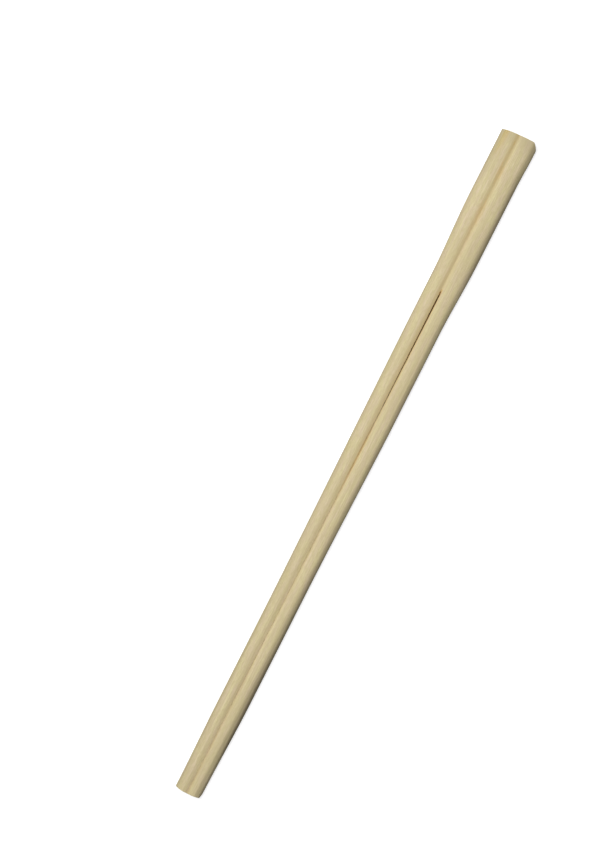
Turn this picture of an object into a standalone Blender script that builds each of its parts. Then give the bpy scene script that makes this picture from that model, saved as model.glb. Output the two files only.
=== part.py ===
"""Bamboo chopsticks, a pair that is still joined: one planed strip, sawn apart almost up to its head.

Metres, +Z up. The pair lies flat on Z = 0, with its head towards -X and its tips towards +X.
The slim stick is on the -Y side of the saw line and the broad stick on the +Y side.
"""

import math

import bmesh
import bpy
import numpy as np

MM = 0.001

# The strip
LENGTH = 230.0 * MM
HEAD_THICKNESS = 5.0 * MM
TIP_THICKNESS = 4.4 * MM

# The slim stick's side: how far it stands from the saw line at the head, along the body, along the
# slender fore part and at the tip, and where it steps in from each of these to the next
SLIM_HEAD_REACH = 5.85 * MM
SLIM_BODY_REACH = 5.08 * MM
SLIM_FORE_REACH = 4.36 * MM
SLIM_TIP_REACH = 4.10 * MM
SLIM_SHOULDER_START = 24.0 * MM
SLIM_SHOULDER_RUN = 26.0 * MM
SLIM_TAPER_START = 50.0 * MM
SLIM_TAPER_RUN = 125.0 * MM
SLIM_TIP_RUN = 32.0 * MM

# The broad stick's side, in the same way. It also flares a little at the very head.
BROAD_HEAD_REACH = 6.72 * MM
BROAD_NECK_REACH = 6.45 * MM
BROAD_BODY_REACH = 5.72 * MM
BROAD_FORE_REACH = 5.14 * MM
BROAD_TIP_REACH = 4.52 * MM
BROAD_FLARE_START = 5.0 * MM
BROAD_FLARE_RUN = 9.0 * MM
BROAD_SHOULDER_START = 42.0 * MM
BROAD_SHOULDER_RUN = 25.0 * MM
BROAD_TAPER_START = 97.0 * MM
BROAD_TAPER_RUN = 58.0 * MM
BROAD_TIP_RUN = 34.0 * MM

# The groove between the sticks, on both faces: half its width, and its depth at the saw line
GROOVE_REACH = 1.75 * MM
GROOVE_DEPTH = 0.50 * MM

# The top of each stick outside the groove: a flat land, then a crown that falls a little to the flank
LAND_RUN = 0.80 * MM
CROWN_TILT = math.radians(10)
CROWN_ROUNDING = 4.0 * MM

# The outer flank of each stick: a planed facet, a steeper one below it, then the upright side. The
# facet narrows over the broad stick's shoulder, and both of them widen again towards the fore part.
HEAD_FACET_RUN = 1.10 * MM
HEAD_FACET_DROP = 0.95 * MM
BODY_FACET_RUN = 0.85 * MM
BODY_FACET_DROP = 0.75 * MM
FORE_FACET_RUN = 1.30 * MM
FORE_FACET_DROP = 0.92 * MM
BODY_STEEP_RUN = 0.60 * MM
BODY_STEEP_DROP = 0.78 * MM
FORE_STEEP_RUN = 0.66 * MM
FORE_STEEP_DROP = 1.22 * MM
WIDENING_START = 130.0 * MM
WIDENING_RUN = 55.0 * MM
FACET_ROUNDING = 2.8 * MM
STEEP_ROUNDING = 2.4 * MM
SIDE_ROUNDING = 0.8 * MM
MOST_FLANK = 0.92

# The ends: how far each one bows out, where the head's bow is fullest (0 at the saw line, 1 at the
# broad side), how far back the bows fade away, and the broad stick's rounded corners
HEAD_BOW = 0.21 * MM
HEAD_BOW_CENTRE = 0.6
TIP_BOW = 0.35 * MM
BOW_FADE = 8.0 * MM
HEAD_CORNER_RUN = 2.3 * MM
HEAD_CORNER_DEPTH = 1.70 * MM
HEAD_CORNER_EASE = 1.5
TIP_CORNER_RUN = 2.4 * MM
TIP_CORNER_DEPTH = 0.40 * MM
TIP_CORNER_EASE = 2.0

# The saw slit. It starts this far from the head on the upper face, and further back on the underside,
# where the round blade ran out. The sticks lean together, so it closes to a hairline towards the tips.
SLIT_START = 54.0 * MM
SLIT_RUN_OUT = 4.0 * MM
SLIT_WIDTH = 0.42 * MM
SLIT_CLOSING_RUN = 55.0 * MM
HAIRLINE_WIDTH = 0.08 * MM
TIP_GAP = 0.04 * MM

# How finely the curves are cut up
STATION_PITCH = 3.5 * MM
CORNER_STEPS = 4
GROOVE_STEPS = 6
CROWN_STEPS = 3
FACET_STEPS = 5
STEEP_STEPS = 3
SIDE_STEPS = 3
NOSE_STEPS = 4
MERGE_DISTANCE = 0.001 * MM
SHARP_ANGLE = math.radians(32)

BAMBOO_COLOUR = (0.66, 0.56, 0.34, 1.0)
BAMBOO_ROUGHNESS = 0.55

# The saw line's place across the strip, which centres the head on Y = 0
SAW_LINE = (SLIM_HEAD_REACH - BROAD_HEAD_REACH) / 2


def clear_scene():
    for obj in list(bpy.data.objects):
        bpy.data.objects.remove(obj, do_unlink=True)


def new_collection(name):
    collection = bpy.data.collections.new(name)
    bpy.context.scene.collection.children.link(collection)
    return collection


def bamboo_material():
    material = bpy.data.materials.new("bamboo")
    material.use_nodes = True
    shader = material.node_tree.nodes["Principled BSDF"]
    shader.inputs["Base Color"].default_value = BAMBOO_COLOUR
    shader.inputs["Roughness"].default_value = BAMBOO_ROUGHNESS
    shader.inputs["Metallic"].default_value = 0.0
    return material


def mix(start, end, share):
    return start + (end - start) * share


def smooth_step(share):
    share = min(max(share, 0.0), 1.0)
    return share * share * (3 - 2 * share)


def stepped(along, sizes, steps):
    """A size at a distance from the head, which steps from each value to the next over a (start, run)."""
    size = sizes[0]
    for before, after, (start, run) in zip(sizes, sizes[1:], steps):
        size += (after - before) * smooth_step((along - start) / run)
    return size


def slim_reach(along):
    reaches = [SLIM_HEAD_REACH, SLIM_BODY_REACH, SLIM_FORE_REACH, SLIM_TIP_REACH]
    shoulder = (SLIM_SHOULDER_START, SLIM_SHOULDER_RUN)
    taper = (SLIM_TAPER_START, SLIM_TAPER_RUN)
    tip = (LENGTH - SLIM_TIP_RUN, SLIM_TIP_RUN)
    return stepped(along, reaches, [shoulder, taper, tip])


def broad_reach(along):
    reaches = [BROAD_HEAD_REACH, BROAD_NECK_REACH, BROAD_BODY_REACH, BROAD_FORE_REACH, BROAD_TIP_REACH]
    flare = (BROAD_FLARE_START, BROAD_FLARE_RUN)
    shoulder = (BROAD_SHOULDER_START, BROAD_SHOULDER_RUN)
    taper = (BROAD_TAPER_START, BROAD_TAPER_RUN)
    tip = (LENGTH - BROAD_TIP_RUN, BROAD_TIP_RUN)
    return stepped(along, reaches, [flare, shoulder, taper, tip])


def flank(along):
    """The facet's run and drop, and then the steeper facet's."""
    shoulder = (BROAD_SHOULDER_START, BROAD_SHOULDER_RUN)
    widening = (WIDENING_START, WIDENING_RUN)
    facet_runs = [HEAD_FACET_RUN, BODY_FACET_RUN, FORE_FACET_RUN]
    facet_drops = [HEAD_FACET_DROP, BODY_FACET_DROP, FORE_FACET_DROP]
    facet = [stepped(along, sizes, [shoulder, widening]) for sizes in (facet_runs, facet_drops)]
    steep_sizes = ([BODY_STEEP_RUN, FORE_STEEP_RUN], [BODY_STEEP_DROP, FORE_STEEP_DROP])
    steep = [stepped(along, sizes, [widening]) for sizes in steep_sizes]
    return facet + steep


def rounded(before, corner, after, radius, steps):
    """Points of the curve that rounds one corner of an outline, kept short of the middle of its walls."""
    before, corner, after = (np.array(p) for p in (before, corner, after))
    back, on = before - corner, after - corner
    back_length, on_length = np.linalg.norm(back), np.linalg.norm(on)
    turn = math.pi - math.acos(back @ on / (back_length * on_length))
    cut = min(radius * math.tan(turn / 2), 0.45 * back_length, 0.45 * on_length)
    start, end = corner + back * cut / back_length, corner + on * cut / on_length
    for share in np.linspace(0, 1, steps + 1):
        yield mix(mix(start, corner, share), mix(corner, end, share), share)


def groove_side(groove_reach, half_thickness):
    """The groove's curve from the saw line up to the land."""
    for share in np.linspace(0, 1, GROOVE_STEPS + 1):
        yield (groove_reach * share, half_thickness - GROOVE_DEPTH * (1 - share) ** 2)


def half_section(reach, half_thickness, facets):
    """One stick's outline above the middle plane, as (out from the saw line, up) points."""
    facet_run, facet_drop, steep_run, steep_drop = facets
    top_run = reach - facet_run - steep_run
    groove_reach = min(GROOVE_REACH, 0.9 * top_run)
    land_run = min(LAND_RUN, (top_run - groove_reach) / 2)
    crown_drop = (top_run - groove_reach - land_run) * math.tan(CROWN_TILT)
    fit = min(1.0, MOST_FLANK * half_thickness / (crown_drop + facet_drop + steep_drop))
    facet_height = half_thickness - fit * crown_drop
    steep_height = facet_height - fit * facet_drop
    side_height = steep_height - fit * steep_drop
    crest = (groove_reach, half_thickness)
    land_end = (groove_reach + land_run, half_thickness)
    facet_top = (top_run, facet_height)
    steep_top = (top_run + facet_run, steep_height)
    side_top = (reach, side_height)
    side_middle = (reach, 0.0)
    return [
        *groove_side(groove_reach, half_thickness),
        *rounded(crest, land_end, facet_top, CROWN_ROUNDING, CROWN_STEPS),
        *rounded(land_end, facet_top, steep_top, FACET_ROUNDING, FACET_STEPS),
        *rounded(facet_top, steep_top, side_top, STEEP_ROUNDING, STEEP_STEPS),
        *rounded(steep_top, side_top, side_middle, SIDE_ROUNDING, SIDE_STEPS),
        side_middle,
    ]


def section(along):
    """The pair's outline above its middle plane, as (across, up) points from slim side to broad side."""
    half_thickness = mix(HEAD_THICKNESS, TIP_THICKNESS, along / LENGTH) / 2
    slim = half_section(slim_reach(along), half_thickness, flank(along))
    broad = half_section(broad_reach(along), half_thickness, flank(along))
    return [(-out, up) for out, up in reversed(slim[1:])] + broad


def stations():
    """Distances from the head at which the section is drawn."""
    return np.linspace(0, LENGTH, math.ceil(LENGTH / STATION_PITCH) + 1)


def bowed(along, share):
    """A point's distance from the head once the ends bow out. The share is where it lies across the
    pair, from -1 at the slim side to 1 at the broad side."""
    head = HEAD_BOW * max(0.0, 1 - along / BOW_FADE)
    tip = TIP_BOW * max(0.0, 1 - (LENGTH - along) / BOW_FADE)
    return along + head * (share - HEAD_BOW_CENTRE) ** 2 - tip * share**2


def upper_half(bm):
    """Draws the strip above its middle plane: a grid laid over the sections, and a wall at each end."""
    rows = [(along, section(along)) for along in stations()]
    columns = len(rows[0][1])
    bmesh.ops.create_grid(bm, x_segments=len(rows) - 1, y_segments=columns - 1, size=1)
    in_rows = sorted(bm.verts, key=lambda v: (round(v.co.x, 6), round(v.co.y, 6)))
    for number, vert in enumerate(in_rows):
        along, outline = rows[number // columns]
        across, up = outline[number % columns]
        side = outline[-1] if across > 0 else outline[0]
        vert.co = (bowed(along, across / abs(side[0])) - LENGTH / 2, across + SAW_LINE, up)
    rims = [e for e in bm.edges if e.is_boundary and max(v.co.z for v in e.verts) > MERGE_DISTANCE]
    walls = bmesh.ops.extrude_edge_only(bm, edges=rims)["geom"]
    for vert in (g for g in walls if isinstance(g, bmesh.types.BMVert)):
        vert.co.z = 0.0


def blank(material, collection):
    """The planed strip before it is sawn, with its middle plane at Z = 0."""
    bm = bmesh.new()
    upper_half(bm)
    bmesh.ops.remove_doubles(bm, verts=bm.verts, dist=MERGE_DISTANCE)
    bmesh.ops.recalc_face_normals(bm, faces=bm.faces)
    mesh = bpy.data.meshes.new("joined_pair")
    bm.to_mesh(mesh)
    bm.free()
    mesh.materials.append(material)
    mesh.shade_smooth()
    mesh.set_sharp_from_angle(angle=SHARP_ANGLE)
    strip = bpy.data.objects.new("joined_pair", mesh)
    collection.objects.link(strip)
    lower_half = strip.modifiers.new("lower_half", "MIRROR")
    lower_half.use_axis = (False, False, True)
    lower_half.merge_threshold = MERGE_DISTANCE
    return strip


def lay_down(strip):
    """Sets the strip on its underside: it tapers, so its middle plane slopes by half the taper."""
    slope = math.atan((HEAD_THICKNESS - TIP_THICKNESS) / 2 / LENGTH)
    strip.rotation_euler.y = slope
    strip.location.z = (HEAD_THICKNESS + TIP_THICKNESS) / 4 * math.cos(slope)


def slit_plan():
    """The slit seen from above, as (along, across) points: a round nose, a narrowing wedge, a hairline."""
    nose = SLIT_WIDTH / 2
    past_tips = LENGTH + HEAD_THICKNESS
    turns = np.linspace(0, math.pi / 2, NOSE_STEPS + 1)
    broad_side = [(SLIT_START + nose * (1 - math.cos(turn)), nose * math.sin(turn)) for turn in turns]
    broad_side.append((SLIT_START + SLIT_CLOSING_RUN, HAIRLINE_WIDTH / 2))
    broad_side.append((LENGTH, TIP_GAP / 2))
    broad_side.append((past_tips, TIP_GAP / 2))
    return broad_side + [(along, -across) for along, across in reversed(broad_side[1:])]


def corner_plan(end, inward, run, depth, ease):
    """The wood missing at one of the broad stick's corners, seen from above: it is bounded by a curve
    from the end to the side, whose last stretch goes straight on through the side."""
    from_end = np.linspace(0, run, CORNER_STEPS + 1)
    side = np.array([broad_reach(end + inward * distance) for distance in from_end])
    curve = np.column_stack([from_end, side - depth * (1 - from_end / run) ** ease])
    curve[-1] += (curve[-1] - curve[-2]) / 2
    outside = side.max() + 2 * depth
    around = [(curve[-1][0], outside), (-depth, outside), (-depth, curve[0][1])]
    return [(end + inward * distance, across) for distance, across in [*curve, *around]]


def raised(bm, plan):
    """A block over a plan of (along, across) points, taller than the strip. Gives back its corners."""
    foot = [bm.verts.new((along - LENGTH / 2, across + SAW_LINE, -HEAD_THICKNESS)) for along, across in plan]
    block = bmesh.ops.extrude_face_region(bm, geom=[bm.faces.new(foot)])["geom"]
    top = [g for g in block if isinstance(g, bmesh.types.BMVert)]
    for vert in top:
        vert.co.z = 2 * HEAD_THICKNESS
    return foot + top


def missing_wood(collection):
    """What the saw and the rounded corners took away. The slit's nose is on a slope."""
    bm = bmesh.new()
    nose_end = SLIT_START + SLIT_WIDTH - LENGTH / 2
    slope = SLIT_RUN_OUT / HEAD_THICKNESS
    for vert in raised(bm, slit_plan()):
        if vert.co.x < nose_end:
            vert.co.x += slope * (HEAD_THICKNESS - vert.co.z)
    raised(bm, corner_plan(0.0, 1, HEAD_CORNER_RUN, HEAD_CORNER_DEPTH, HEAD_CORNER_EASE))
    raised(bm, corner_plan(LENGTH, -1, TIP_CORNER_RUN, TIP_CORNER_DEPTH, TIP_CORNER_EASE))
    bmesh.ops.recalc_face_normals(bm, faces=bm.faces)
    mesh = bpy.data.meshes.new("missing_wood")
    bm.to_mesh(mesh)
    bm.free()
    cutter = bpy.data.objects.new("missing_wood", mesh)
    cutter.hide_render = True
    cutter.display_type = "WIRE"
    collection.objects.link(cutter)
    return cutter


def cut_away(strip, cutter):
    cut = strip.modifiers.new("missing_wood", "BOOLEAN")
    cut.operation = "DIFFERENCE"
    cut.object = cutter


def main():
    clear_scene()
    strip = blank(bamboo_material(), new_collection("bamboo_chopsticks"))
    lay_down(strip)
    cut_away(strip, missing_wood(new_collection("cutters")))


if __name__ == "__main__":
    main()
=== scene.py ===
"""Dresses a joined pair of bamboo chopsticks and lays it on a pale studio floor.

Metres, +Z up. +X runs from the joined head to the tips and +Y from the slim stick to the broad one.
The pair's fine mesh is laid over the CAD solid, given its fibres, and sawn open again along the slit.
"""

import math

import bmesh
import bpy
import numpy as np
from bpy.props import FloatProperty, FloatVectorProperty, IntProperty, PointerProperty
from mathutils import Matrix, Vector
from mathutils.bvhtree import BVHTree


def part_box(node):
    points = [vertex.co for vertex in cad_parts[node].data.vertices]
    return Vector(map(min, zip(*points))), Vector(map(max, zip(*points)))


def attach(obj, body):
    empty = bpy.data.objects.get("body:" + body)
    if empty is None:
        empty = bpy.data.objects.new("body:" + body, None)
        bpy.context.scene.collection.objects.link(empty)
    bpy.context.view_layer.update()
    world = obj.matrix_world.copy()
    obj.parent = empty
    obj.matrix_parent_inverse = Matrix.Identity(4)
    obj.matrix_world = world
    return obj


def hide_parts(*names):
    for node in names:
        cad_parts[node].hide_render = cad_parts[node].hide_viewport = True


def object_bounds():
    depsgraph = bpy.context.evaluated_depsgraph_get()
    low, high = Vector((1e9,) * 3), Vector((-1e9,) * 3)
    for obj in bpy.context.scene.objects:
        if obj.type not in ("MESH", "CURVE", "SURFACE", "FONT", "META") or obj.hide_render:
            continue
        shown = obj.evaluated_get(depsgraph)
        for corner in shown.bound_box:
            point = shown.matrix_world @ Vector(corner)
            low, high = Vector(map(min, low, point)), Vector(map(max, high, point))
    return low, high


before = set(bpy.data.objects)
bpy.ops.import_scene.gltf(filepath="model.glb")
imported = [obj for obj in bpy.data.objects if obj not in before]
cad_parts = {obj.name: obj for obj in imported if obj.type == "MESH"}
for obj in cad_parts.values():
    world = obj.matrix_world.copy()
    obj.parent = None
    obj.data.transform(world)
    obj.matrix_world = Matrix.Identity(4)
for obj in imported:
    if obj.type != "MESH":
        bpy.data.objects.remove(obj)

bl_info = {
    "name": "Bamboo Chopsticks",
    "version": (1, 0, 0),
    "blender": (4, 5, 0),
    "location": "View3D > Sidebar > Chopsticks",
    "description": "Models a joined pair of bamboo chopsticks and a pale studio round it",
    "category": "Object",
}

MM = 0.001
UP = Vector((0, 0, 1))
DOWN = Vector((0, 0, -1))
PAIR_NODE = "joined_pair"
CAD_BOX = [list(corner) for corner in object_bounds()]

# How long and how thick one grain of a pattern is, along the bamboo and across it
WAVE_GRAIN = (22 * MM, 3.0 * MM)
FIBRE_GRAIN = (28 * MM, 0.5 * MM)
TORN_GRAIN = (0.8 * MM, 0.35 * MM)
STRAND_GRAIN = (45 * MM, 0.62 * MM)

# Where the mesh rows of the worn edge lie, as shares of its size
EDGE_ROWS = (0.0, 0.12, 0.35, 0.65, 1.0)

# The finishes' places in the piece's list of materials
PLANED, CROSS_CUT, SAWN = range(3)

# Edges that turn by more than this stay sharp
SHARP_ANGLE = math.radians(38)

# The floor lies this far under the pair, so that they don't touch
FLOOR_GAP = 0.08 * MM


class PairSizes(bpy.types.PropertyGroup):
    """Sizes of the pair's fine surface and of its saw slit"""

    along_pitch: FloatProperty(
        name="Pitch Along", description="Mesh spacing along the sticks", default=0.75 * MM, unit="LENGTH"
    )
    end_pitch: FloatProperty(
        name="Pitch at Ends",
        description="Mesh spacing along, near the ends",
        default=0.15 * MM,
        unit="LENGTH",
    )
    melting: IntProperty(
        name="Melting", description="How often the facets' edges are averaged away", default=5, min=0
    )
    end_run: FloatProperty(
        name="End Run", description="Length of the closely spaced ends", default=3.0 * MM, unit="LENGTH"
    )
    columns: IntProperty(
        name="Columns", description="Mesh columns across one stick's face", default=58, min=8
    )
    side_crowding: FloatProperty(
        name="Side Crowding",
        description="How much closer the columns are at the side",
        default=0.88,
        subtype="FACTOR",
    )
    wall_rows: IntProperty(
        name="Wall Rows", description="Mesh rows down the sides and the ends", default=5, min=1
    )
    end_edge: FloatProperty(
        name="End Edge", description="Size of the worn edge round each end", default=0.10 * MM, unit="LENGTH"
    )
    wave_height: FloatProperty(
        name="Planing Waves",
        description="Height of the slow waves that planing leaves",
        default=0.05 * MM,
        unit="LENGTH",
    )
    fibre_height: FloatProperty(
        name="Fibre Ridges", description="Height of the raised fibres", default=0.016 * MM, unit="LENGTH"
    )
    saw_roughness: FloatProperty(
        name="Saw Roughness",
        description="Height of the torn fibres on the ends",
        default=0.06 * MM,
        unit="LENGTH",
    )
    slit_start: FloatProperty(
        name="Slit Start",
        description="Distance of the slit's root from the head",
        default=54.0 * MM,
        unit="LENGTH",
    )
    slit_run_out: FloatProperty(
        name="Slit Run-out",
        description="How much further back the root is below",
        default=4.0 * MM,
        unit="LENGTH",
    )
    slit_width: FloatProperty(
        name="Slit Width", description="Width of the slit at its root", default=0.42 * MM, unit="LENGTH"
    )
    slit_closing_run: FloatProperty(
        name="Slit Closing Run",
        description="Length over which the slit closes",
        default=55.0 * MM,
        unit="LENGTH",
    )
    hairline_width: FloatProperty(
        name="Hairline Width", description="Width of the gap past the wedge", default=0.08 * MM, unit="LENGTH"
    )
    tip_gap: FloatProperty(
        name="Tip Gap", description="Width of the gap at the tips", default=0.04 * MM, unit="LENGTH"
    )


class BambooColours(bpy.types.PropertyGroup):
    """Colours of the bamboo"""

    flesh: FloatVectorProperty(
        name="Flesh",
        description="The pale ground between the fibres",
        default=(0.685, 0.608, 0.337),
        subtype="COLOR",
    )
    fibre: FloatVectorProperty(
        name="Fibre",
        description="The strands that run along the stick",
        default=(0.545, 0.455, 0.255),
        subtype="COLOR",
    )
    blush: FloatVectorProperty(
        name="Blush",
        description="The pinker patches along the stick",
        default=(0.697, 0.572, 0.398),
        subtype="COLOR",
    )
    # Partly the groove's burnish, partly painted shade and warm bounce light on the groove flank that faces
    # away from the key light
    groove: FloatVectorProperty(
        name="Groove", description="The burnished groove", default=(0.57, 0.45, 0.225), subtype="COLOR"
    )
    groove_stain: FloatVectorProperty(
        name="Groove Stain",
        description="The groove's browner stretches",
        default=(0.585, 0.41, 0.15),
        subtype="COLOR",
    )
    # Painted shade on the broad stick's side, which faces away from the key light
    flank_shade: FloatVectorProperty(
        name="Flank Shade",
        description="The broad stick's darker flank",
        default=(0.36, 0.295, 0.175),
        subtype="COLOR",
    )
    stain: FloatVectorProperty(
        name="Stain",
        description="The stained strands near the head",
        default=(0.54, 0.405, 0.14),
        subtype="COLOR",
    )
    # Partly the sawn bamboo's colour, partly painted warm bounce light inside the slit
    cut: FloatVectorProperty(
        name="Cut", description="The sawn walls of the slit", default=(0.62, 0.35, 0.08), subtype="COLOR"
    )
    # Painted shade along the slit's rims, beside the narrow slit
    slit_shade: FloatVectorProperty(
        name="Slit Shade",
        description="The browned rims of the slit",
        default=(0.48, 0.28, 0.07),
        subtype="COLOR",
    )
    end_flesh: FloatVectorProperty(
        name="End Flesh",
        description="The ground of the cut ends",
        default=(0.66, 0.55, 0.33),
        subtype="COLOR",
    )
    end_strand: FloatVectorProperty(
        name="End Strand",
        description="The cut strands in the ends",
        default=(0.36, 0.25, 0.13),
        subtype="COLOR",
    )
    # Painted shade that darkens the head a little
    head_shade: FloatVectorProperty(
        name="Head Shade",
        description="Where handling has darkened the head a little",
        default=(0.50, 0.42, 0.25),
        subtype="COLOR",
    )
    floor: FloatVectorProperty(
        name="Floor", description="The studio floor", default=(0.50, 0.50, 0.50), subtype="COLOR"
    )
    floor_glow: FloatVectorProperty(
        name="Floor Glow",
        description="Light that the floor gives off, which keeps its shadows faint",
        default=(0.80, 0.80, 0.80),
        subtype="COLOR",
    )
    backdrop: FloatVectorProperty(
        name="Backdrop",
        description="What shows above the floor's far edge",
        default=(0.80, 0.80, 0.80),
        subtype="COLOR",
    )
    # A warm glow painted on the floor under the slit, which shows down the slit as warm light
    slit_floor_glow: FloatVectorProperty(
        name="Slit Floor Glow",
        description="Light that comes through the thin bamboo to the floor below the slit",
        default=(0.034, 0.010, 0.0),
        subtype="COLOR",
    )
    floor_bounce: FloatVectorProperty(
        name="Floor Bounce",
        description="How much of the light the floor sends back up",
        default=(0.17, 0.17, 0.17),
        subtype="COLOR",
    )


class BambooStrengths(bpy.types.PropertyGroup):
    """How strongly each part of the planed bamboo's look covers what lies below it"""

    tone: FloatProperty(
        name="Tone", description="How much the slow darker tones show", default=0.35, subtype="FACTOR"
    )
    strands: FloatProperty(
        name="Strands", description="How much the strands show", default=0.40, subtype="FACTOR"
    )
    fibres: FloatProperty(
        name="Fibres", description="How much the fine fibres show", default=0.60, subtype="FACTOR"
    )
    flecks: FloatProperty(
        name="Flecks", description="How much the short flecks show", default=0.70, subtype="FACTOR"
    )
    # How strongly the painted shade darkens the head
    head_shade: FloatProperty(
        name="Head Shade", description="How much handling has darkened the head", default=0.50, subtype="FACTOR"
    )
    # How strongly the groove's tint shows, which is partly burnish and partly painted shade
    burnish_and_shade: FloatProperty(
        name="Burnish and Shade", description="How much the groove's burnish shows", default=0.60, subtype="FACTOR"
    )
    # How strongly the painted shade on the broad stick's side shows
    flank_shade: FloatProperty(
        name="Flank Shade", description="How much darker the broad stick's flank is", default=0.74, subtype="FACTOR"
    )
    # How strongly the painted shade along the slit's rims shows
    slit_shade: FloatProperty(
        name="Slit Shade", description="How much the slit's rims are browned", default=0.50, subtype="FACTOR"
    )


class StudioSizes(bpy.types.PropertyGroup):
    """Places of the camera and the lights"""

    camera_height: FloatProperty(
        name="Camera Height",
        description="Height of the camera above the floor",
        default=0.9025,
        unit="LENGTH",
    )
    camera_along: FloatProperty(
        name="Camera Along",
        description="The camera's place along the sticks",
        default=-2.59 * MM,
        unit="LENGTH",
    )
    camera_across: FloatProperty(
        name="Camera Across",
        description="The camera's place across the sticks",
        default=-20.04 * MM,
        unit="LENGTH",
    )
    camera_roll: FloatProperty(
        name="Camera Roll",
        description="Turn of the sticks from upright in the picture",
        default=math.radians(26.86),
        subtype="ANGLE",
    )
    picture_height: FloatProperty(
        name="Picture Height",
        description="Height of the picture where the sticks lie",
        default=267.6 * MM,
        unit="LENGTH",
    )
    key_height: FloatProperty(
        name="Key Height", description="Height of the key light", default=0.56, unit="LENGTH"
    )
    key_along: FloatProperty(
        name="Key Along", description="The key light's place along the sticks", default=-0.04, unit="LENGTH"
    )
    key_across: FloatProperty(
        name="Key Across",
        description="The key light's place across the sticks",
        default=-0.215,
        unit="LENGTH",
    )
    key_size: FloatProperty(
        name="Key Size", description="Side of the key light's square panel", default=0.36, unit="LENGTH"
    )
    key_power: FloatProperty(
        name="Key Power", description="Power of the key light", default=4.0, unit="POWER"
    )
    end_distance: FloatProperty(
        name="End Light Distance",
        description="How far the end lights stand off the ends",
        default=0.45,
        unit="LENGTH",
    )
    end_height: FloatProperty(
        name="End Light Height", description="Height of the end lights", default=0.055, unit="LENGTH"
    )
    end_size: FloatProperty(
        name="End Light Size",
        description="Side of each end light's square panel",
        default=0.10,
        unit="LENGTH",
    )
    end_power: FloatProperty(
        name="End Light Power", description="Power of each end light", default=0.5, unit="POWER"
    )
    fill: FloatProperty(
        name="Fill", description="Strength of the light from all round", default=0.042
    )
    floor_size: FloatProperty(
        name="Floor Size", description="Side of the floor", default=4.0, unit="LENGTH"
    )


def deselect_all():
    if bpy.context.mode != "OBJECT":
        bpy.ops.object.mode_set(mode="OBJECT")
    bpy.ops.object.select_all(action="DESELECT")


def select_only(obj):
    deselect_all()
    obj.select_set(True)
    bpy.context.view_layer.objects.active = obj


def mix(start, end, share):
    return start + (end - start) * share


def all_ways(grain):
    """A grain's size along, across and through the bamboo."""
    length, thickness = grain
    return length, thickness, thickness


class SolidProbe:
    """Reads the pair's form off the CAD solid by casting rays at it."""

    # Rays start far off the pair, and those at its outline are moved in by a nudge
    far = 20 * MM
    nudge = 0.006 * MM

    # Off the saw line: where the faces are read next to the slit, where their slope there is taken up to,
    # and where the thickness is read
    beside_slit = 0.27 * MM
    beyond_slit = 0.42 * MM
    on_land = 2.0 * MM

    # In from the ends: where the faces next to the slit and the two sides are last read, and the step that
    # gives a side's slope there
    inside_end = 0.20 * MM
    end_margin = 0.42 * MM
    slim_end_margin = 0.62 * MM
    end_step = 0.12 * MM

    # Where the saw line is looked for: how far from the head, and over which mm off the middle
    seek_from_head = 15 * MM
    seek_reach = 1.5
    seek_step = 0.01

    def __init__(self, solid):
        self.tree = BVHTree.FromObject(solid, bpy.context.evaluated_depsgraph_get())
        self.low, self.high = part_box(PAIR_NODE)
        self.saw_line = self.find_saw_line()

    def cast(self, start, direction):
        place = self.tree.ray_cast(Vector(start), direction)[0]
        if place is None:
            raise RuntimeError(f"no surface of {PAIR_NODE} was met from {tuple(start)}")
        return place

    def find_saw_line(self):
        """The groove's deepest line, where the two sticks meet."""
        along = self.low.x + self.seek_from_head
        across = np.arange(-self.seek_reach, self.seek_reach, self.seek_step) * MM
        heights = [self.cast((along, y, self.far), DOWN).z for y in across]
        return float(across[int(np.argmin(heights))])

    def middle(self, along):
        """Half the thickness at a station."""
        return self.cast((along, self.saw_line + self.on_land, self.far), DOWN).z / 2

    def side(self, along, sign):
        """How far the side of the stick on that side of the saw line stands from it.
        Close to an end, which bows, it goes on from the side's slope further in."""
        margin = self.end_margin if sign > 0 else self.slim_end_margin
        inner = min(max(along, self.low.x + margin), self.high.x - margin)
        start = (inner, sign * self.far, self.middle(inner))
        reach = abs(self.cast(start, Vector((0, -sign, 0))).y - self.saw_line)
        if inner == along:
            return reach
        step = math.copysign(self.end_step, inner - along)
        return reach + (reach - self.side(inner + step, sign)) * (inner - along) / step

    def end(self, across, sign):
        """Where the cut end lies at a place across the pair."""
        off = across - self.saw_line
        across = self.saw_line + math.copysign(max(abs(off), self.beside_slit), off)
        edge = self.high.x if sign > 0 else self.low.x
        height = self.middle(edge - sign * self.end_margin)
        return self.cast((edge + sign * self.far, across, height), Vector((-sign, 0, 0))).x

    def face(self, along, across, direction):
        """Height of the upper face for a ray going down, or of the lower one for a ray going up.
        Over the slit it goes on from the groove's slope beside it."""
        start = -self.far * direction.z
        off = across - self.saw_line
        if abs(off) >= self.beside_slit:
            return self.cast((along, across, start), direction).z
        sign = -1 if off < 0 else 1
        along = min(max(along, self.low.x + self.inside_end), self.high.x - self.inside_end)
        near, far = (
            self.cast((along, self.saw_line + sign * reach, start), direction).z
            for reach in (self.beside_slit, self.beyond_slit)
        )
        slope = (far - near) / (self.beyond_slit - self.beside_slit)
        return near - slope * (self.beside_slit - abs(off))


def station_list(sizes, low, high):
    """Places along the pair: closest at the worn edges, close near the ends, evenly spaced in between."""
    edge = sizes.end_edge * np.array(EDGE_ROWS)
    near = np.concatenate([edge, np.arange(edge[-1] + sizes.end_pitch, sizes.end_run, sizes.end_pitch)])
    start, end = low + sizes.end_run, high - sizes.end_run
    count = math.ceil((end - start) / sizes.along_pitch)
    return np.concatenate([low + near, np.linspace(start, end, count + 1), high - near[::-1]])


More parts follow.
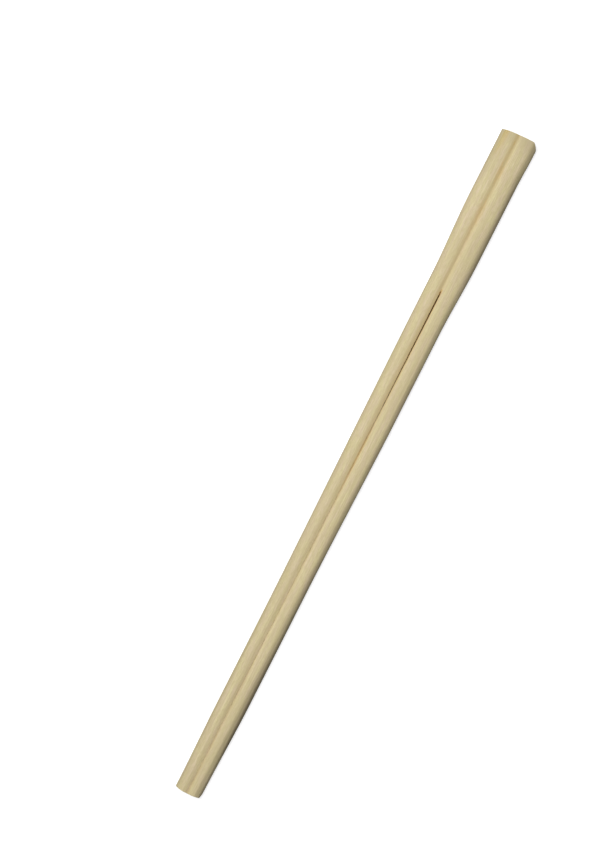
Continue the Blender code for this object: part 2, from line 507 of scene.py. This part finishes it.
def column_list(sizes):
    """Shares of a stick's reach, from the slim stick's side at -1 to the broad stick's at 1."""
    turn = np.linspace(0, math.pi / 2 * sizes.side_crowding, sizes.columns + 1)
    shares = np.sin(turn) / np.sin(turn[-1])
    return np.concatenate([-shares[:0:-1], shares])


def plan_of(probe, stations, columns):
    """Places (along, across) of every mesh row and column, within the solid's outline from above."""
    slim = np.array([probe.side(x, -1) for x in stations])
    broad = np.array([probe.side(x, 1) for x in stations])
    reach = np.where(columns[None, :] < 0, slim[:, None], broad[:, None])
    across = probe.saw_line + reach * columns[None, :]
    along = np.repeat(stations[:, None], len(columns), axis=1)
    fade_run = 6 * MM
    step_in = 4 * probe.nudge
    for row, sign in ((0, -1), (-1, 1)):
        edge = stations[row]
        ends = np.array([probe.end(y - math.copysign(step_in, y), sign) for y in across[row]])
        fade = np.clip(1 - np.abs(stations - edge) / fade_run, 0, 1)
        along += fade[:, None] * (ends - edge)[None, :]
    return along, across


def inwards(index, count):
    """Which way leads inwards from a row: up from the first, down from the last, neither in between."""
    if index == 0:
        return 1
    return -1 if index == count - 1 else 0


def faces_of(probe, along, across):
    """Heights of the upper and lower face at each of those places."""
    rows, columns = along.shape
    upper, lower = np.zeros(along.shape), np.zeros(along.shape)
    for i in range(rows):
        for j in range(columns):
            x = along[i, j] + probe.nudge * inwards(i, rows)
            y = across[i, j] + probe.nudge * inwards(j, columns)
            upper[i, j] = probe.face(x, y, DOWN)
            lower[i, j] = probe.face(x, y, UP)
    return upper, lower


def melted(heights, times):
    """Averages the CAD solid's facets away, into the round forms that they stand for."""
    for _ in range(times):
        padded = np.pad(heights, 1, mode="edge")
        padded[:, 0] = 2 * padded[:, 1] - padded[:, 2]
        padded[:, -1] = 2 * padded[:, -2] - padded[:, -3]
        heights = (padded[1:-1, :-2] + 2 * padded[1:-1, 1:-1] + padded[1:-1, 2:]) / 4
    return heights


def edge_wear(sizes, stations):
    """How far the worn edge round each end lies inside the planed faces, at each station."""
    from_end = np.minimum(stations - stations[0], stations[-1] - stations)
    to_go = np.clip(1 - from_end / sizes.end_edge, 0, 1)
    return sizes.end_edge * (1 - np.sqrt(1 - to_go**2))[:, None]


def drop(edge):
    """How far an edge runs up or down."""
    return abs(edge.verts[0].co.z - edge.verts[1].co.z)


def select_edges(obj, is_wanted):
    """Selects the edges that pass a test, in edit mode."""
    bpy.ops.mesh.select_all(action="DESELECT")
    bpy.ops.mesh.select_mode(type="EDGE")
    bm = bmesh.from_edit_mesh(obj.data)
    for edge in bm.edges:
        edge.select = is_wanted(edge)
    bm.select_flush_mode()
    bmesh.update_edit_mesh(obj.data)


def put_in_order(mesh):
    """Numbers the points by their place, and the edges and faces by their points, because extruding,
    subdividing and sawing leave them in another order each run."""
    bm = bmesh.new()
    bm.from_mesh(mesh)
    for number, point in enumerate(sorted(bm.verts, key=lambda point: point.co[:])):
        point.index = number
    bm.verts.sort()
    for parts in (bm.edges, bm.faces):
        for number, part in enumerate(sorted(parts, key=lambda part: sorted(v.index for v in part.verts))):
            part.index = number
        parts.sort()
    bm.to_mesh(mesh)
    bm.free()


def add_slab(rows, columns, wall_rows):
    """A square slab of unit size: a grid, the same grid one unit below it, and rows of walls between."""
    deselect_all()
    bpy.ops.mesh.primitive_grid_add(x_subdivisions=rows - 1, y_subdivisions=columns - 1, size=1)
    slab = bpy.context.object
    bpy.ops.object.mode_set(mode="EDIT")
    bpy.ops.mesh.select_all(action="SELECT")
    bpy.ops.mesh.extrude_region_move(TRANSFORM_OT_translate={"value": (0, 0, -1)})
    select_edges(slab, lambda edge: drop(edge) > 0.5)
    bpy.ops.mesh.subdivide(number_cuts=wall_rows - 1)
    bpy.ops.mesh.select_all(action="SELECT")
    bpy.ops.mesh.normals_make_consistent(inside=False)
    bpy.ops.object.mode_set(mode="OBJECT")
    put_in_order(slab.data)
    return slab


def lay_over_solid(slab, probe, sizes, stations, columns):
    """Moves the slab's points onto the CAD solid's upper face, lower face and sides."""
    along, across = plan_of(probe, stations, columns)
    upper, lower = (melted(heights, sizes.melting) for heights in faces_of(probe, along, across))
    wear = edge_wear(sizes, stations)
    upper, lower = upper - wear, lower + wear
    mostly_at_sides = columns[None, :] ** 5
    across = across - wear * mostly_at_sides
    points = np.zeros(len(slab.data.vertices) * 3)
    slab.data.vertices.foreach_get("co", points)
    points = points.reshape(-1, 3)
    i = np.rint((points[:, 0] + 0.5) * (len(stations) - 1)).astype(int)
    j = np.rint((points[:, 1] + 0.5) * (len(columns) - 1)).astype(int)
    down = -points[:, 2]
    points[:, 0] = along[i, j]
    points[:, 1] = across[i, j]
    points[:, 2] = mix(upper[i, j], lower[i, j], down)
    slab.data.vertices.foreach_set("co", points.ravel())
    slab.data.update()
    at_end = (i == 0) | (i == len(stations) - 1)
    between_faces = (down > 0.01) & (down < 0.99)
    for name, members in (("planed", ~at_end), ("cut_ends", at_end & between_faces)):
        group = slab.vertex_groups.new(name=name)
        group.add([int(n) for n in np.flatnonzero(members)], 1.0, "REPLACE")


def apply_modifiers(obj):
    """Works the modifiers into the mesh, first to last."""
    select_only(obj)
    for modifier in list(obj.modifiers):
        bpy.ops.object.modifier_apply(modifier=modifier.name)


def add_relief(strip, name, group, height, grain):
    """Raises and lowers the points of a vertex group by a cloudy pattern, drawn out to a grain size."""
    pattern = bpy.data.textures.new(name, "CLOUDS")
    pattern.noise_scale = 1.0
    pattern.noise_depth = 2
    bpy.ops.object.empty_add(location=(0, 0, 0))
    stretch = bpy.context.object
    stretch.scale = all_ways(grain)
    bpy.context.view_layer.update()
    relief = strip.modifiers.new(name, "DISPLACE")
    relief.texture = pattern
    relief.texture_coords = "OBJECT"
    relief.texture_coords_object = stretch
    relief.vertex_group = group
    relief.strength = height
    relief.mid_level = 0.5
    apply_modifiers(strip)
    bpy.data.objects.remove(stretch)
    bpy.data.textures.remove(pattern)


def add_slit_blade(sizes, probe):
    """The air of the saw slit: a thin bar from the slit's root past the tips, narrowed to its widths."""
    start = probe.low.x + sizes.slit_start
    closed = start + sizes.slit_closing_run
    past_tips = 2 * MM
    end = probe.high.x + past_tips
    thickness = probe.high.z
    nearby = 1 * MM
    nearly_half = 0.49
    deselect_all()
    bpy.ops.mesh.primitive_cube_add(size=1, location=((start + end) / 2, probe.saw_line, thickness / 2))
    blade = bpy.context.object
    blade.scale = (end - start, sizes.slit_width, 3 * thickness)
    bpy.ops.object.transform_apply(location=True, rotation=False, scale=True)
    bpy.ops.object.mode_set(mode="EDIT")
    select_edges(blade, lambda edge: drop(edge) > thickness and edge.verts[0].co.x < start + nearby)
    bpy.ops.mesh.bevel(offset=nearly_half * sizes.slit_width, segments=4)
    for station in (closed, probe.high.x):
        bpy.ops.mesh.select_all(action="SELECT")
        bpy.ops.mesh.bisect(plane_co=(station, 0, 0), plane_no=(1, 0, 0))
    bpy.ops.object.mode_set(mode="OBJECT")
    slope = sizes.slit_run_out / thickness
    for vertex in blade.data.vertices:
        place = vertex.co
        if place.x > closed - nearby:
            width = np.interp(place.x, (closed, probe.high.x), (sizes.hairline_width, sizes.tip_gap))
            place.y = probe.saw_line + (place.y - probe.saw_line) * float(width) / sizes.slit_width
        if place.x < start + nearby:
            place.x += slope * (thickness - place.z)
    return blade


def saw_open(strip, sizes, probe):
    """Saws the strip into two sticks, as far as the slit's root."""
    blade = add_slit_blade(sizes, probe)
    cut = strip.modifiers.new("slit", "BOOLEAN")
    cut.operation = "DIFFERENCE"
    cut.solver = "EXACT"
    cut.object = blade
    apply_modifiers(strip)
    put_in_order(strip.data)
    bpy.data.objects.remove(blade)


def model_pair(sizes):
    """The fine mesh of the whole pair, and the probe that it was read with."""
    probe = SolidProbe(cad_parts[PAIR_NODE])
    stations = station_list(sizes, probe.low.x, probe.high.x)
    columns = column_list(sizes)
    strip = add_slab(len(stations), len(columns), sizes.wall_rows)
    strip.name = strip.data.name = "bamboo_pair"
    lay_over_solid(strip, probe, sizes, stations, columns)
    add_relief(strip, "planing_waves", "planed", sizes.wave_height, WAVE_GRAIN)
    add_relief(strip, "fibre_ridges", "planed", sizes.fibre_height, FIBRE_GRAIN)
    add_relief(strip, "torn_fibres", "cut_ends", sizes.saw_roughness, TORN_GRAIN)
    saw_open(strip, sizes, probe)
    return strip, probe


class ShaderSheet:
    """Places nodes on a node tree and joins them up."""

    # How the nodes are laid out in the shader editor
    row_length, column_width, row_height = 8, 200, 220

    # The Mix node's sockets for colours
    first_colour, second_colour, mixed_colour = 6, 7, 2

    def __init__(self, tree):
        self.tree = tree
        self.count = 0

    def add(self, kind, settings=None, **inputs):
        """A new node with those settings, and those values or sockets at its inputs."""
        node = self.tree.nodes.new(kind)
        row, column = divmod(self.count, self.row_length)
        node.location = (self.column_width * column, -self.row_height * row)
        self.count += 1
        for name, value in (settings or {}).items():
            setattr(node, name, value)
        for name, value in inputs.items():
            self.put(node.inputs[name.replace("_", " ")], value)
        return node

    def put(self, socket, value):
        if isinstance(value, bpy.types.NodeSocket):
            self.tree.links.new(value, socket)
        else:
            socket.default_value = value

    def math(self, operation, first, second=0.0, clamp=False):
        node = self.add("ShaderNodeMath", {"operation": operation, "use_clamp": clamp})
        self.put(node.inputs[0], first)
        self.put(node.inputs[1], second)
        return node.outputs[0]

    def times(self, first, second):
        return self.math("MULTIPLY", first, second)

    def remap(self, value, from_low, from_high, to_low=0.0, to_high=1.0):
        """Eases from one number to another while the value crosses a range, and stays level outside it."""
        node = self.add(
            "ShaderNodeMapRange",
            {"interpolation_type": "SMOOTHSTEP"},
            Value=value,
            From_Min=from_low,
            From_Max=from_high,
            To_Min=to_low,
            To_Max=to_high,
        )
        return node.outputs["Result"]

    def mix_colour(self, share, first, second):
        """Lays the second colour over the first, as strongly as the share says."""
        node = self.add("ShaderNodeMix", {"data_type": "RGBA"}, Factor=share)
        for index, colour in ((self.first_colour, first), (self.second_colour, second)):
            given = isinstance(colour, bpy.types.NodeSocket)
            self.put(node.inputs[index], colour if given else (*colour, 1.0))
        return node.outputs[self.mixed_colour]

    def place(self):
        """Where a point lies on the piece: X, Y and Z."""
        place = self.add("ShaderNodeTexCoord").outputs["Object"]
        return self.add("ShaderNodeSeparateXYZ", Vector=place).outputs

    def stretched(self, coordinates, grain):
        """Coordinates in which a grain of that size is one unit each way."""
        scale = tuple(1 / size for size in all_ways(grain))
        return self.add("ShaderNodeMapping", Vector=coordinates, Scale=scale).outputs["Vector"]

    def noise(self, coordinates, detail, roughness):
        node = self.add(
            "ShaderNodeTexNoise", Vector=coordinates, Scale=1.0, Detail=detail, Roughness=roughness
        )
        return node.outputs["Fac"]


def new_group(name, inputs, outputs):
    """An empty shader node group with float inputs, and outputs that are all values."""
    group = bpy.data.node_groups.new(name, "ShaderNodeTree")
    for socket, default in inputs.items():
        given = group.interface.new_socket(socket, in_out="INPUT", socket_type="NodeSocketFloat")
        given.default_value = default
    for socket in outputs:
        group.interface.new_socket(socket, in_out="OUTPUT", socket_type="NodeSocketFloat")
    return group


def grain_group():
    """Bamboo's inner make-up, the same all through: strands, fine fibres, flecks, mottling and slow tones.
    Every pattern is drawn out along the stick, so a planed face cuts it to streaks and an end to dots."""
    group = new_group(
        "bamboo_grain", {"Strand Width": 0.28}, ["Strands", "Fibres", "Tone", "Mottle", "Flecks"]
    )
    sheet = ShaderSheet(group)
    given = sheet.add("NodeGroupInput").outputs
    out = sheet.add("NodeGroupOutput")
    place = sheet.add("ShaderNodeTexCoord").outputs["Object"]
    height = sheet.add("ShaderNodeSeparateXYZ", Vector=place).outputs["Z"]
    inner_side, skin_side = 0.0, 5 * MM
    crowding = sheet.remap(height, inner_side, skin_side, 0.7, 1.15)
    width = sheet.times(given["Strand Width"], crowding)
    soft_edge = 0.16
    cells = sheet.add(
        "ShaderNodeTexVoronoi",
        {"feature": "F1"},
        Vector=sheet.stretched(place, STRAND_GRAIN),
        Scale=1.0,
        Randomness=0.85,
    )
    strands = sheet.remap(cells.outputs["Distance"], width, sheet.math("ADD", width, soft_edge), 1.0, 0.0)
    sheet.put(out.inputs["Strands"], strands)
    for name, length, thickness, detail, roughness in (
        ("Fibres", 16 * MM, 0.24 * MM, 3.0, 0.6),
        ("Tone", 24 * MM, 3.2 * MM, 3.0, 0.5),
        ("Mottle", 7.0 * MM, 1.5 * MM, 4.0, 0.68),
        ("Flecks", 1.8 * MM, 0.30 * MM, 3.0, 0.7),
    ):
        pattern = sheet.noise(sheet.stretched(place, (length, thickness)), detail, roughness)
        sheet.put(out.inputs[name], pattern)
    return group


class PairBands:
    """Masks by the distance from the head, and by the distance from the saw line towards the broad side."""

    def __init__(self, sheet, probe):
        self.sheet = sheet
        self.saw_line = probe.saw_line
        self.place = sheet.place()
        self.from_head = sheet.math("SUBTRACT", self.place["X"], probe.low.x)

    def along(self, start, end, first=0.0, last=1.0):
        """Eases from the first number to the last over a run along the pair."""
        return self.sheet.remap(self.from_head, start, end, first, last)

    def across(self, start, end, first=0.0, last=1.0):
        """Eases from the first number to the last over a run across the pair."""
        return self.sheet.remap(self.place["Y"], self.saw_line + start, self.saw_line + end, first, last)

    def stretch(self, rise, fall):
        """1 between a rise and a fall along the pair, and 0 outside them."""
        return self.sheet.times(self.along(*rise), self.along(*fall, 1.0, 0.0))

    def off_line(self, line):
        """How far a point lies off a line that runs along the pair."""
        return self.sheet.math("ABSOLUTE", self.sheet.math("SUBTRACT", self.place["Y"], self.saw_line + line))


def groove_burnish_and_shade_mask(sheet, bands, full_reach):
    """Partly burnish, partly painted shade and warm bounce light on the slim stick's groove flank, which
    faces away from the key light, so it leans towards the slim stick. It is strongest and narrowest at the
    head, and it fades over the slender fore part."""
    slimwards = -0.45 * MM
    reach = sheet.times(full_reach, bands.along(4 * MM, 26 * MM, 0.78, 1.0))
    burnish_and_shade = sheet.remap(bands.off_line(slimwards), 0.0, reach, 1.0, 0.0)
    lasting = bands.along(70 * MM, 165 * MM, 1.0, 0.35)
    at_head = bands.along(2 * MM, 24 * MM, 1.45, 1.0)
    return sheet.times(burnish_and_shade, sheet.times(lasting, at_head))


def head_mask(sheet, bands, run):
    """Where painted shade darkens the head: the very head, which reaches further on the slim stick."""
    very_head = bands.along(0.0, run, 1.0, 0.0)
    slim_part = bands.across(-1.4 * MM, -3.0 * MM)
    slim_head = sheet.times(slim_part, bands.along(13 * MM, 21 * MM, 0.55, 0.0))
    return sheet.math("MAXIMUM", very_head, slim_head)


def stain_mask(sheet, bands, run):
    """A band inside the slim stick's side, on its first stretch."""
    slim_part = bands.across(-2.8 * MM, -3.6 * MM)
    inside_rim = bands.across(-5.3 * MM, -4.5 * MM)
    return sheet.times(sheet.times(slim_part, inside_rim), bands.along(4 * MM, run, 1.0, 0.0))


def flank_shade_mask(sheet, bands):
    """Painted shade on the broad stick's side that faces away from the key light: in its upper half, near the
    tips and at the neck, and on the facet beside it near the tips."""
    near_tips = sheet.times(
        bands.across(3.7 * MM, 4.5 * MM), bands.stretch((120 * MM, 195 * MM), (208 * MM, 224 * MM))
    )
    at_neck = sheet.times(
        bands.across(5.2 * MM, 6.0 * MM), bands.stretch((8 * MM, 18 * MM), (44 * MM, 58 * MM))
    )
    facet = sheet.times(
        bands.across(2.2 * MM, 2.9 * MM, 0.0, 0.34), bands.stretch((174 * MM, 192 * MM), (210 * MM, 222 * MM))
    )
    neck_share = 0.75
    flank_shade = sheet.math("ADD", near_tips, sheet.times(at_neck, neck_share))
    flank_shade = sheet.math("ADD", flank_shade, facet)
    upper_half = sheet.remap(bands.place["Z"], 2.0 * MM, 2.7 * MM)
    return sheet.times(flank_shade, upper_half)


def slit_shade_mask(sheet, bands, sizes):
    """The slit's rims, with painted shade from the slit's root on and once more where it closes."""
    root, run = sizes.slit_start, sizes.slit_closing_run
    half_slit = 0.5 * sizes.slit_width
    rim_width = 0.30 * MM
    broadwards = 0.05 * MM
    rim = sheet.remap(bands.off_line(broadwards), half_slit, half_slit + rim_width, 1.0, 0.0)
    sawn_part = sheet.times(
        bands.along(root - 0.3 * MM, root + 0.3 * MM), bands.along(root + 0.1 * run, root + run, 1.0, 0.25)
    )
    closing = bands.stretch((root + 0.80 * run, root + 1.02 * run), (root + 1.05 * run, root + 1.40 * run))
    closing_share = 0.85
    # Painted shade beside the slit, at its root and where it closes
    rim_shade = sheet.math("ADD", sawn_part, sheet.times(closing, closing_share), clamp=True)
    return sheet.times(rim, rim_shade)


def places_group(probe, sizes):
    """Where a point lies on the pair: how near the groove's bottom, whether before the sticks narrow, how
    near the very head, and whether on the stained first stretch of the slim stick, on the broad stick's side
    that takes painted shade, or on the slit's rims that take painted shade."""
    group = new_group(
        "places_on_pair",
        {"Groove Reach": 1.6 * MM, "Head Run": 7.0 * MM, "Stain Run": 11 * MM},
        ["Groove", "First Part", "Head", "Stain", "Flank Shade", "Slit Shade"],
    )
    sheet = ShaderSheet(group)
    given = sheet.add("NodeGroupInput").outputs
    out = sheet.add("NodeGroupOutput")
    bands = PairBands(sheet, probe)
    for name, mask in (
        ("Groove", groove_burnish_and_shade_mask(sheet, bands, given["Groove Reach"])),
        ("First Part", bands.along(26 * MM, 42 * MM, 1.0, 0.15)),
        ("Head", head_mask(sheet, bands, given["Head Run"])),
        ("Stain", stain_mask(sheet, bands, given["Stain Run"])),
        ("Flank Shade", flank_shade_mask(sheet, bands)),
        ("Slit Shade", slit_shade_mask(sheet, bands, sizes)),
    ):
        sheet.put(out.inputs[name], mask)
    return group


def new_material(name):
    """A material with nothing but a Principled shader."""
    material = bpy.data.materials.new(name)
    material.use_nodes = True
    material.node_tree.nodes.clear()
    sheet = ShaderSheet(material.node_tree)
    shader = sheet.add("ShaderNodeBsdfPrincipled")
    out = sheet.add("ShaderNodeOutputMaterial")
    sheet.put(out.inputs["Surface"], shader.outputs["BSDF"])
    return material, sheet, shader


def use_group(sheet, group, **inputs):
    return sheet.add("ShaderNodeGroup", {"node_tree": group}, **inputs).outputs


def add_bump(sheet, shader, pattern, strength, height):
    """Lays a pattern's fine relief on the surface."""
    bump = sheet.add("ShaderNodeBump", Strength=strength, Distance=height, Height=pattern)
    sheet.put(shader.inputs["Normal"], bump.outputs["Normal"])


def planed_bamboo(colours, strengths, grain, places):
    """The planed faces: pale flesh mottled yellow and pink, low-contrast strands, fibres and flecks, a groove
    tinted partly as burnish and partly as painted shade and warm bounce light, with browner stretches,
    painted shade that darkens the head a little, a few stained strands near it, painted shade on the broad
    stick's flank at the neck and near the tips, and painted shade along the slit's rims."""
    material, sheet, shader = new_material("planed_bamboo")
    make_up = use_group(sheet, grain)
    near = use_group(sheet, places)
    colour = sheet.mix_colour(sheet.remap(make_up["Mottle"], 0.38, 0.62), colours.flesh, colours.blush)
    stained_strands = sheet.remap(make_up["Fibres"], 0.44, 0.56, 0.20, 0.90)
    browner = sheet.times(near["First Part"], sheet.remap(make_up["Mottle"], 0.42, 0.60))
    groove = sheet.mix_colour(browner, colours.groove, colours.groove_stain)
    for share, layer in (
        (sheet.remap(make_up["Tone"], 0.35, 0.65, 0.0, strengths.tone), colours.fibre),
        (sheet.times(make_up["Strands"], strengths.strands), colours.fibre),
        (sheet.remap(make_up["Fibres"], 0.35, 0.70, 0.0, strengths.fibres), colours.fibre),
        (sheet.remap(make_up["Flecks"], 0.38, 0.68, 0.0, strengths.flecks), colours.fibre),
        # Painted shade on the head
        (sheet.times(near["Head"], strengths.head_shade), colours.head_shade),
        (sheet.times(near["Stain"], stained_strands), colours.stain),
        # The groove: partly burnish, partly painted shade and warm bounce light
        (sheet.times(near["Groove"], strengths.burnish_and_shade), groove),
        # Painted shade on the broad stick's side
        (sheet.times(near["Flank Shade"], strengths.flank_shade), colours.flank_shade),
        # Painted shade along the slit's rims
        (sheet.times(near["Slit Shade"], strengths.slit_shade), colours.slit_shade),
    ):
        colour = sheet.mix_colour(share, colour, layer)
    sheet.put(shader.inputs["Base Color"], colour)
    sheet.put(shader.inputs["Roughness"], sheet.remap(make_up["Flecks"], 0.3, 0.7, 0.60, 0.76))
    shader.inputs["Specular IOR Level"].default_value = 0.25
    ridges = sheet.math("ADD", make_up["Fibres"], sheet.times(make_up["Flecks"], 0.5))
    add_bump(sheet, shader, ridges, strength=0.35, height=0.02 * MM)
    return material


def cut_end_bamboo(colours, grain):
    """The cross-cut ends: a matt ground dotted with cut strands."""
    material, sheet, shader = new_material("cut_end_bamboo")
    make_up = use_group(sheet, grain, Strand_Width=0.20)
    paler = sheet.remap(make_up["Tone"], 0.35, 0.65, 0.0, 0.6)
    ground = sheet.mix_colour(paler, colours.end_flesh, colours.flesh)
    dots = sheet.times(make_up["Strands"], 0.7)
    sheet.put(shader.inputs["Base Color"], sheet.mix_colour(dots, ground, colours.end_strand))
    shader.inputs["Roughness"].default_value = 0.85
    add_bump(sheet, shader, make_up["Strands"], strength=0.6, height=0.05 * MM)
    return material


def sawn_bamboo(colours, grain):
    """The walls of the slit: sawn, matt and darker, in an orange that is partly the sawn bamboo's colour and
    partly painted warm bounce light inside the slit.
    """
    material, sheet, shader = new_material("sawn_bamboo")
    make_up = use_group(sheet, grain)
    paler = sheet.remap(make_up["Fibres"], 0.3, 0.7, 0.0, 0.5)
    sheet.put(shader.inputs["Base Color"], sheet.mix_colour(paler, colours.cut, colours.end_flesh))
    shader.inputs["Roughness"].default_value = 0.9
    add_bump(sheet, shader, make_up["Flecks"], strength=0.6, height=0.03 * MM)
    return material


def finish_faces(strip, probe, sizes):
    """Gives each face the finish of the tool that made it: planed, cross-cut or sawn."""
    end_reach = 2.4 * MM
    slit_reach = 0.51 * sizes.slit_width
    for face in strip.data.polygons:
        levelness = abs(face.normal.z)
        at_end = not probe.low.x + end_reach < face.center.x < probe.high.x - end_reach
        across_fibres = abs(face.normal.x) > 0.45 and levelness < 0.6
        in_slit = abs(face.center.y - probe.saw_line) < slit_reach and levelness < 0.3
        if at_end and across_fibres:
            face.material_index = CROSS_CUT
        elif in_slit:
            face.material_index = SAWN
        else:
            face.material_index = PLANED


class CHOPSTICKS_OT_pair(bpy.types.Operator):
    """Model the joined pair over its CAD solid, saw it open and finish it in bamboo"""

    bl_idname = "chopsticks.pair"
    bl_label = "Joined Pair"

    def execute(self, context):
        sizes, colours = context.scene.pair_sizes, context.scene.bamboo_colours
        strip, probe = model_pair(sizes)
        grain, places = grain_group(), places_group(probe, sizes)
        for finish in (
            planed_bamboo(colours, context.scene.bamboo_strengths, grain, places),
            cut_end_bamboo(colours, grain),
            sawn_bamboo(colours, grain),
        ):
            strip.data.materials.append(finish)
        finish_faces(strip, probe, sizes)
        select_only(strip)
        bpy.ops.object.shade_smooth_by_angle(angle=SHARP_ANGLE)
        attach(strip, "root")
        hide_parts(PAIR_NODE)
        return {"FINISHED"}


def add_floor(size, colours):
    """A plain matt floor just under the pair. It looks pale and sends little light back up, so that the
    side away from the key light stays as dark as it would on a small white card. It glows all round the
    pair, but beneath it only with a faint warm glow painted under the slit, which stands in for the light
    that the bamboo lets through."""
    deselect_all()
    bpy.ops.mesh.primitive_plane_add(size=size, location=(0, 0, -FLOOR_GAP))
    floor = bpy.context.object
    floor.name = "studio_floor"
    material, sheet, shader = new_material("studio_floor")
    place = sheet.place()
    off_middle = sheet.math("ABSOLUTE", place["Y"])
    off_centre = sheet.math("ABSOLUTE", place["X"])
    pair_end = CAD_BOX[1][0]
    beside = sheet.remap(off_middle, 2.5 * MM, 3.5 * MM)
    beyond = sheet.remap(off_centre, pair_end - 1.5 * MM, pair_end - 0.5 * MM)
    below = sheet.add("ShaderNodeNewGeometry").outputs["Backfacing"]
    around = sheet.math("MAXIMUM", sheet.math("MAXIMUM", beside, beyond), below)
    # A warm glow painted on the floor under the slit, standing in for the light that the thin bamboo lets
    # through
    under_slit = sheet.remap(off_middle, 1.2 * MM, 1.8 * MM, 1.0, 0.0)
    painted_slit_glow = sheet.mix_colour(under_slit, (0, 0, 0), colours.slit_floor_glow)
    seen = sheet.add("ShaderNodeLightPath").outputs["Is Camera Ray"]
    tone = sheet.mix_colour(seen, colours.floor_bounce, colours.floor)
    sheet.put(shader.inputs["Base Color"], tone)
    glow = sheet.mix_colour(sheet.times(seen, around), painted_slit_glow, colours.floor_glow)
    sheet.put(shader.inputs["Emission Color"], glow)
    shader.inputs["Emission Strength"].default_value = 1.0
    shader.inputs["Roughness"].default_value = 0.95
    shader.inputs["Specular IOR Level"].default_value = 0.0
    floor.data.materials.append(material)


def add_panel_light(name, place, target, size, power):
    """A soft square panel that faces its target and isn't seen itself."""
    deselect_all()
    aim = Vector(target) - Vector(place)
    bpy.ops.object.light_add(type="AREA", location=place, rotation=aim.to_track_quat("-Z", "Y").to_euler())
    panel = bpy.context.object
    panel.name = name
    panel.data.size = size
    panel.data.energy = power
    panel.visible_camera = False


def add_lights(studio):
    """A key light from the slim stick's side, and a weak low one off each end, which the faces above miss."""
    key_place = (studio.key_along, studio.key_across, studio.key_height)
    add_panel_light("key_light", key_place, (studio.key_along, 0, 0), studio.key_size, studio.key_power)
    for name, end, away in (("head_light", CAD_BOX[0][0], -1), ("tip_light", CAD_BOX[1][0], 1)):
        place = (end + away * studio.end_distance, 0, studio.end_height)
        add_panel_light(name, place, (end, 0, 0), studio.end_size, studio.end_power)


def add_fill_light(strength, backdrop):
    """A weak light from all round, which is seen as a pale backdrop."""
    world = bpy.data.worlds.new("studio_fill")
    world.use_nodes = True
    sheet = ShaderSheet(world.node_tree)
    seen = sheet.add("ShaderNodeLightPath").outputs["Is Camera Ray"]
    tone = sheet.mix_colour(seen, (strength, strength, strength), backdrop)
    sheet.put(world.node_tree.nodes["Background"].inputs["Color"], tone)
    bpy.context.scene.world = world


def add_camera(studio):
    """Looks straight down, turned so that the head is at the picture's upper right."""
    deselect_all()
    bpy.ops.object.camera_add()
    camera = bpy.context.object
    camera.name = "photo_camera"
    roll = studio.camera_roll
    right = Vector((-math.sin(roll), math.cos(roll), 0))
    upward = Vector((-math.cos(roll), -math.sin(roll), 0))
    turn = Matrix((right, upward, UP)).transposed().to_4x4()
    place = (studio.camera_along, studio.camera_across, studio.camera_height)
    camera.matrix_world = Matrix.Translation(place) @ turn
    camera.data.sensor_width = 36.0
    distance = studio.camera_height - CAD_BOX[1][2] / 2
    camera.data.lens = camera.data.sensor_width * distance / studio.picture_height
    bpy.context.scene.camera = camera


class CHOPSTICKS_OT_stage(bpy.types.Operator):
    """Lay a pale floor, hang a soft light over it and set the camera above"""

    bl_idname = "chopsticks.stage"
    bl_label = "Studio"

    def execute(self, context):
        studio, colours = context.scene.studio_sizes, context.scene.bamboo_colours
        add_floor(studio.floor_size, colours)
        add_lights(studio)
        add_fill_light(studio.fill, colours.backdrop)
        add_camera(studio)
        context.scene.view_settings.view_transform = "Standard"
        return {"FINISHED"}


class CHOPSTICKS_PT_panel(bpy.types.Panel):
    """Buttons that make the pair and its studio"""

    bl_idname = "CHOPSTICKS_PT_panel"
    bl_label = "Bamboo Chopsticks"
    bl_space_type = "VIEW_3D"
    bl_region_type = "UI"
    bl_category = "Chopsticks"

    def draw(self, context):
        self.layout.operator(CHOPSTICKS_OT_pair.bl_idname)
        self.layout.operator(CHOPSTICKS_OT_stage.bl_idname)


CLASSES = (
    PairSizes,
    BambooColours,
    BambooStrengths,
    StudioSizes,
    CHOPSTICKS_OT_pair,
    CHOPSTICKS_OT_stage,
    CHOPSTICKS_PT_panel,
)


def register():
    for cls in CLASSES:
        bpy.utils.register_class(cls)
    bpy.types.Scene.pair_sizes = PointerProperty(type=PairSizes)
    bpy.types.Scene.bamboo_colours = PointerProperty(type=BambooColours)
    bpy.types.Scene.bamboo_strengths = PointerProperty(type=BambooStrengths)
    bpy.types.Scene.studio_sizes = PointerProperty(type=StudioSizes)


def unregister():
    del bpy.types.Scene.studio_sizes
    del bpy.types.Scene.bamboo_strengths
    del bpy.types.Scene.bamboo_colours
    del bpy.types.Scene.pair_sizes
    for cls in reversed(CLASSES):
        bpy.utils.unregister_class(cls)


def main():
    register()
    bpy.ops.chopsticks.stage()
    bpy.ops.chopsticks.pair()


if __name__ == "__main__":
    main()
